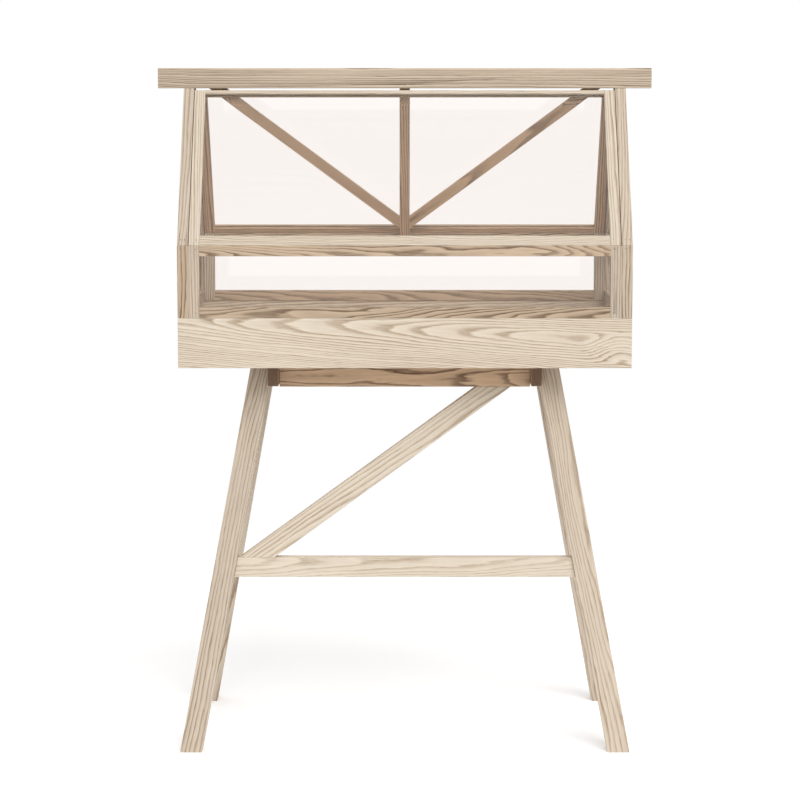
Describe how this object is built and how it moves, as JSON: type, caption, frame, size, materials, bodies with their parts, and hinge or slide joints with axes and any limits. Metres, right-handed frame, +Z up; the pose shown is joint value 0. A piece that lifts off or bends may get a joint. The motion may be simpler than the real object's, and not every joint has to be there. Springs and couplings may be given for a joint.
{
  "type": "cold frame",
  "caption": "Small glazed cold frame on a splayed wooden stand, with a planter box, a pitched glass roof and a hinged front lid.",
  "frame": {"origin": "on the floor, under the middle of the frame", "axes": "+Z up, the hinged front lid and the stretcher towards -Y, +X to the right seen from the front"},
  "size_m": [1.03, 0.424, 1.406],
  "materials": {
    "ash_light": "oiled pale ash",
    "ash_rail": "oiled ash, browner heartwood",
    "ash_inner": "oiled ash, browner heartwood",
    "ash_floor": "plain sawn board",
    "clear_glass": "clear float glass",
    "brad_steel": "dull dark heads",
    "pin_steel": "plain steel"
  },
  "bodies": {
    "frame": {"box_board_front": "ash_light", "box_board_left": "ash_light", "box_board_rear": "ash_light", "box_board_right": "ash_light", "cross_rail_left": "ash_rail", "cross_rail_right": "ash_rail", "diagonal_brace": "ash_light", "end_left_lower_glass": "clear_glass", "end_left_post_front": "ash_light", "end_left_post_rear": "ash_light", "end_left_rafter_front": "ash_light", "end_left_rafter_rear": "ash_light", "end_left_sill": "ash_light", "end_left_tie_rail": "ash_light", "end_left_upper_glass": "clear_glass", "end_right_lower_glass": "clear_glass", "end_right_post_front": "ash_light", "end_right_post_rear": "ash_light", "end_right_rafter_front": "ash_light", "end_right_rafter_rear": "ash_light", "end_right_sill": "ash_light", "end_right_tie_rail": "ash_light", "end_right_upper_glass": "clear_glass", "floor_panel": "ash_floor", "frame_brads": "brad_steel", "leg_front_left": "ash_light", "leg_front_right": "ash_light", "leg_rear_left": "ash_light", "leg_rear_right": "ash_light", "long_rail_front": "ash_rail", "long_rail_rear": "ash_rail", "rear_panel_bottom_rail": "ash_inner", "rear_panel_glass": "clear_glass", "rear_panel_stile_left": "ash_inner", "rear_panel_stile_right": "ash_inner", "rear_panel_top_rail": "ash_inner", "ridge_beam": "ash_light", "stretcher": "ash_light", "truss_brace_left": "ash_inner", "truss_brace_right": "ash_inner", "truss_post": "ash_inner", "wall_front_bottom_rail": "ash_rail", "wall_front_glass": "clear_glass", "wall_front_stile_left": "ash_light", "wall_front_stile_right": "ash_light", "wall_front_top_rail": "ash_rail", "wall_rear_bottom_rail": "ash_rail", "wall_rear_glass": "clear_glass", "wall_rear_stile_left": "ash_light", "wall_rear_stile_right": "ash_light", "wall_rear_top_rail": "ash_rail"},
    "front_lid": {"lid_bottom_rail": "ash_light", "lid_brads": "brad_steel", "lid_glass": "clear_glass", "lid_pivot_pins": "pin_steel", "lid_stile_left": "ash_light", "lid_stile_right": "ash_light", "lid_top_rail": "ash_light"}
  },
  "joints": [
    {"name": "front_lid_hinge", "type": "hinge", "parent": "frame", "child": "front_lid", "pos_m": [0, -0.01689, 1.353], "axis": [-1, 0, 0], "range_deg": [0, 78]}
  ]
}
